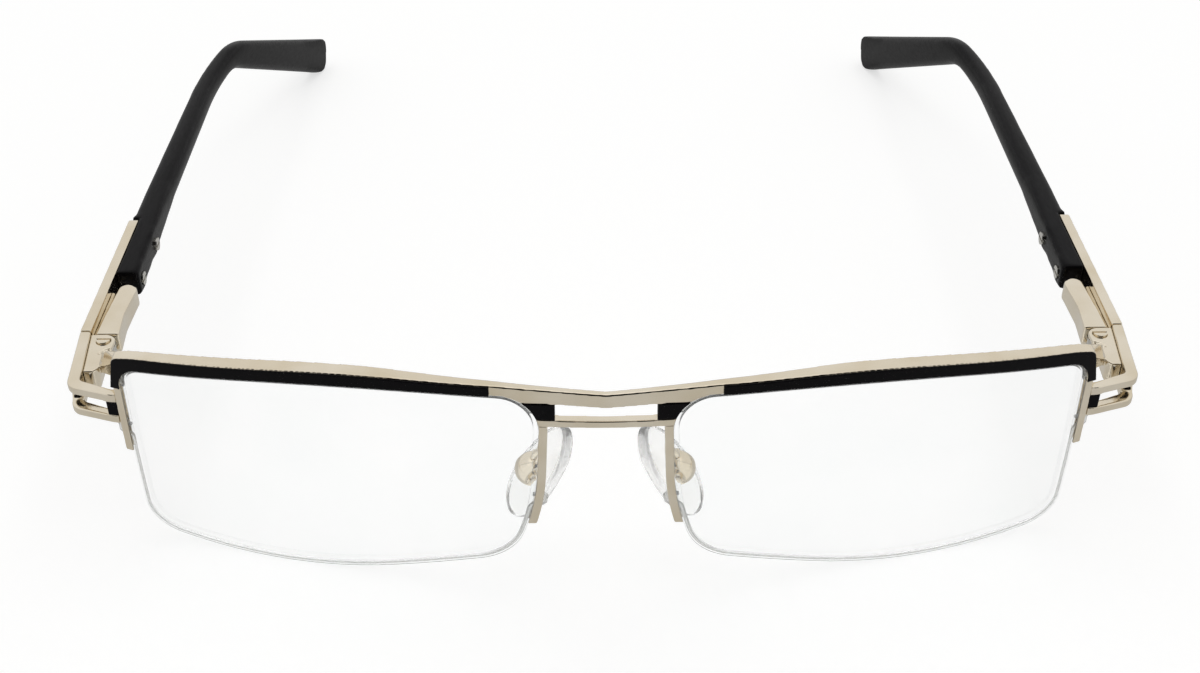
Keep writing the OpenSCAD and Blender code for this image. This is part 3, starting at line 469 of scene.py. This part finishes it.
# A strength for what is looked at, one for what is mirrored and one for what lights the object
def rayStrength(tree, seen, mirrored, light):
    path = addNode(tree, "LightPath").outputs
    straight = addNode(tree, "Math", {
        0: path["Is Camera Ray"], 1: path["Is Transmission Ray"]}, operation="MAXIMUM")
    others = addNode(tree, "Mix", {"Factor": path["Is Glossy Ray"], "A": light, "B": mirrored})
    return addNode(tree, "Mix", {
        "Factor": straight.outputs[0], "A": others.outputs["Result"], "B": seen}).outputs["Result"]


floorMaterial, tree = emptyMaterial("white_floor_card")
card = addNode(tree, "BsdfDiffuse", {"Color": linear(stageLook["floor"])})
fill = addNode(tree, "Emission", {"Color": white, "Strength": rayStrength(
    tree, stageLook["floorSeen"], stageLook["floorMirrored"], 0.0)})
both = addNode(tree, "AddShader", {0: card.outputs["BSDF"], 1: fill.outputs["Emission"]})
addNode(tree, "OutputMaterial", {"Surface": both.outputs["Shader"]})
floorMesh = bpy.data.meshes.new("floor")
bm = bmesh.new()
bmesh.ops.create_grid(bm, x_segments=1, y_segments=1, size=stageLook["floorSize"] / 2)
bm.to_mesh(floorMesh)
bm.free()
floorMesh.materials.append(floorMaterial)
floor = bpy.data.objects.new("floor", floorMesh)
bpy.context.scene.collection.objects.link(floor)

world = bpy.data.worlds.new("white_room")
world.use_nodes = True
world.node_tree.nodes.clear()
tree = world.node_tree
# The photograph's side of the room is dark, so every rounded edge mirrors a fine dark line
direction = addNode(tree, "TexCoord").outputs["Generated"]
darkPlace = (0.0, -cos(radians(stageLook["darkUp"])), sin(radians(stageLook["darkUp"])))
facing = addNode(tree, "VectorMath", {0: direction, 1: darkPlace}, operation="DOT_PRODUCT")
darkened = addNode(tree, "MapRange", {
    "Value": facing.outputs["Value"], "From Min": cos(radians(stageLook["dark"])),
    "From Max": cos(radians(stageLook["dark"] - stageLook["darkSoft"])),
    "To Min": stageLook["roomMirrored"], "To Max": stageLook["darkMirrored"]})
# A brighter patch overhead puts a fine light line beside it
height = addNode(tree, "SeparateXYZ", {"Vector": direction})
strip = addNode(tree, "MapRange", {
    "Value": height.outputs["Z"], "From Min": sin(radians(stageLook["strip"])), "From Max": 1.0,
    "To Min": 0.0, "To Max": stageLook["stripMirrored"]})
mirrored = addNode(tree, "Math", {
    0: darkened.outputs["Result"], 1: strip.outputs["Result"]}, operation="ADD")
room = addNode(tree, "Background", {"Color": white, "Strength": rayStrength(
    tree, stageLook["roomSeen"], mirrored.outputs["Value"], stageLook["room"])})
addNode(tree, "OutputWorld", {"Surface": room.outputs["Background"]})
bpy.context.scene.world = world

lampData = bpy.data.lights.new("soft_box", "AREA")
lampData.size = stageLook["lampSize"]
lampData.energy = stageLook["lamp"]
lamp = bpy.data.objects.new("soft_box", lampData)
lamp.location = stageLook["lampPlace"]
lamp.visible_glossy = False  # the metal mirrors the room alone, so its edges don't glare
bpy.context.scene.collection.objects.link(lamp)

# The camera: millimetres, degrees turned right and down, and its focal length in picture pixels
cameraLook = {"place": (-2.455, -219.85, 134.846), "right": 0.716, "down": 34.46,
              "pixels": 1482.9, "picture": 1200, "sensor": 36.0, "nearest": 10.0}
cameraData = bpy.data.cameras.new("photo_view")
cameraData.sensor_width = cameraLook["sensor"]
cameraData.lens = cameraLook["pixels"] / cameraLook["picture"] * cameraLook["sensor"]
cameraData.clip_start = cameraLook["nearest"] * mm
camera = bpy.data.objects.new("photo_view", cameraData)
camera.location = Vector(cameraLook["place"]) * mm
camera.rotation_euler = (radians(90 - cameraLook["down"]), 0, radians(-cameraLook["right"]))
bpy.context.scene.collection.objects.link(camera)
bpy.context.scene.camera = camera
bpy.context.scene.view_settings.view_transform = "Standard"
print("stage set")
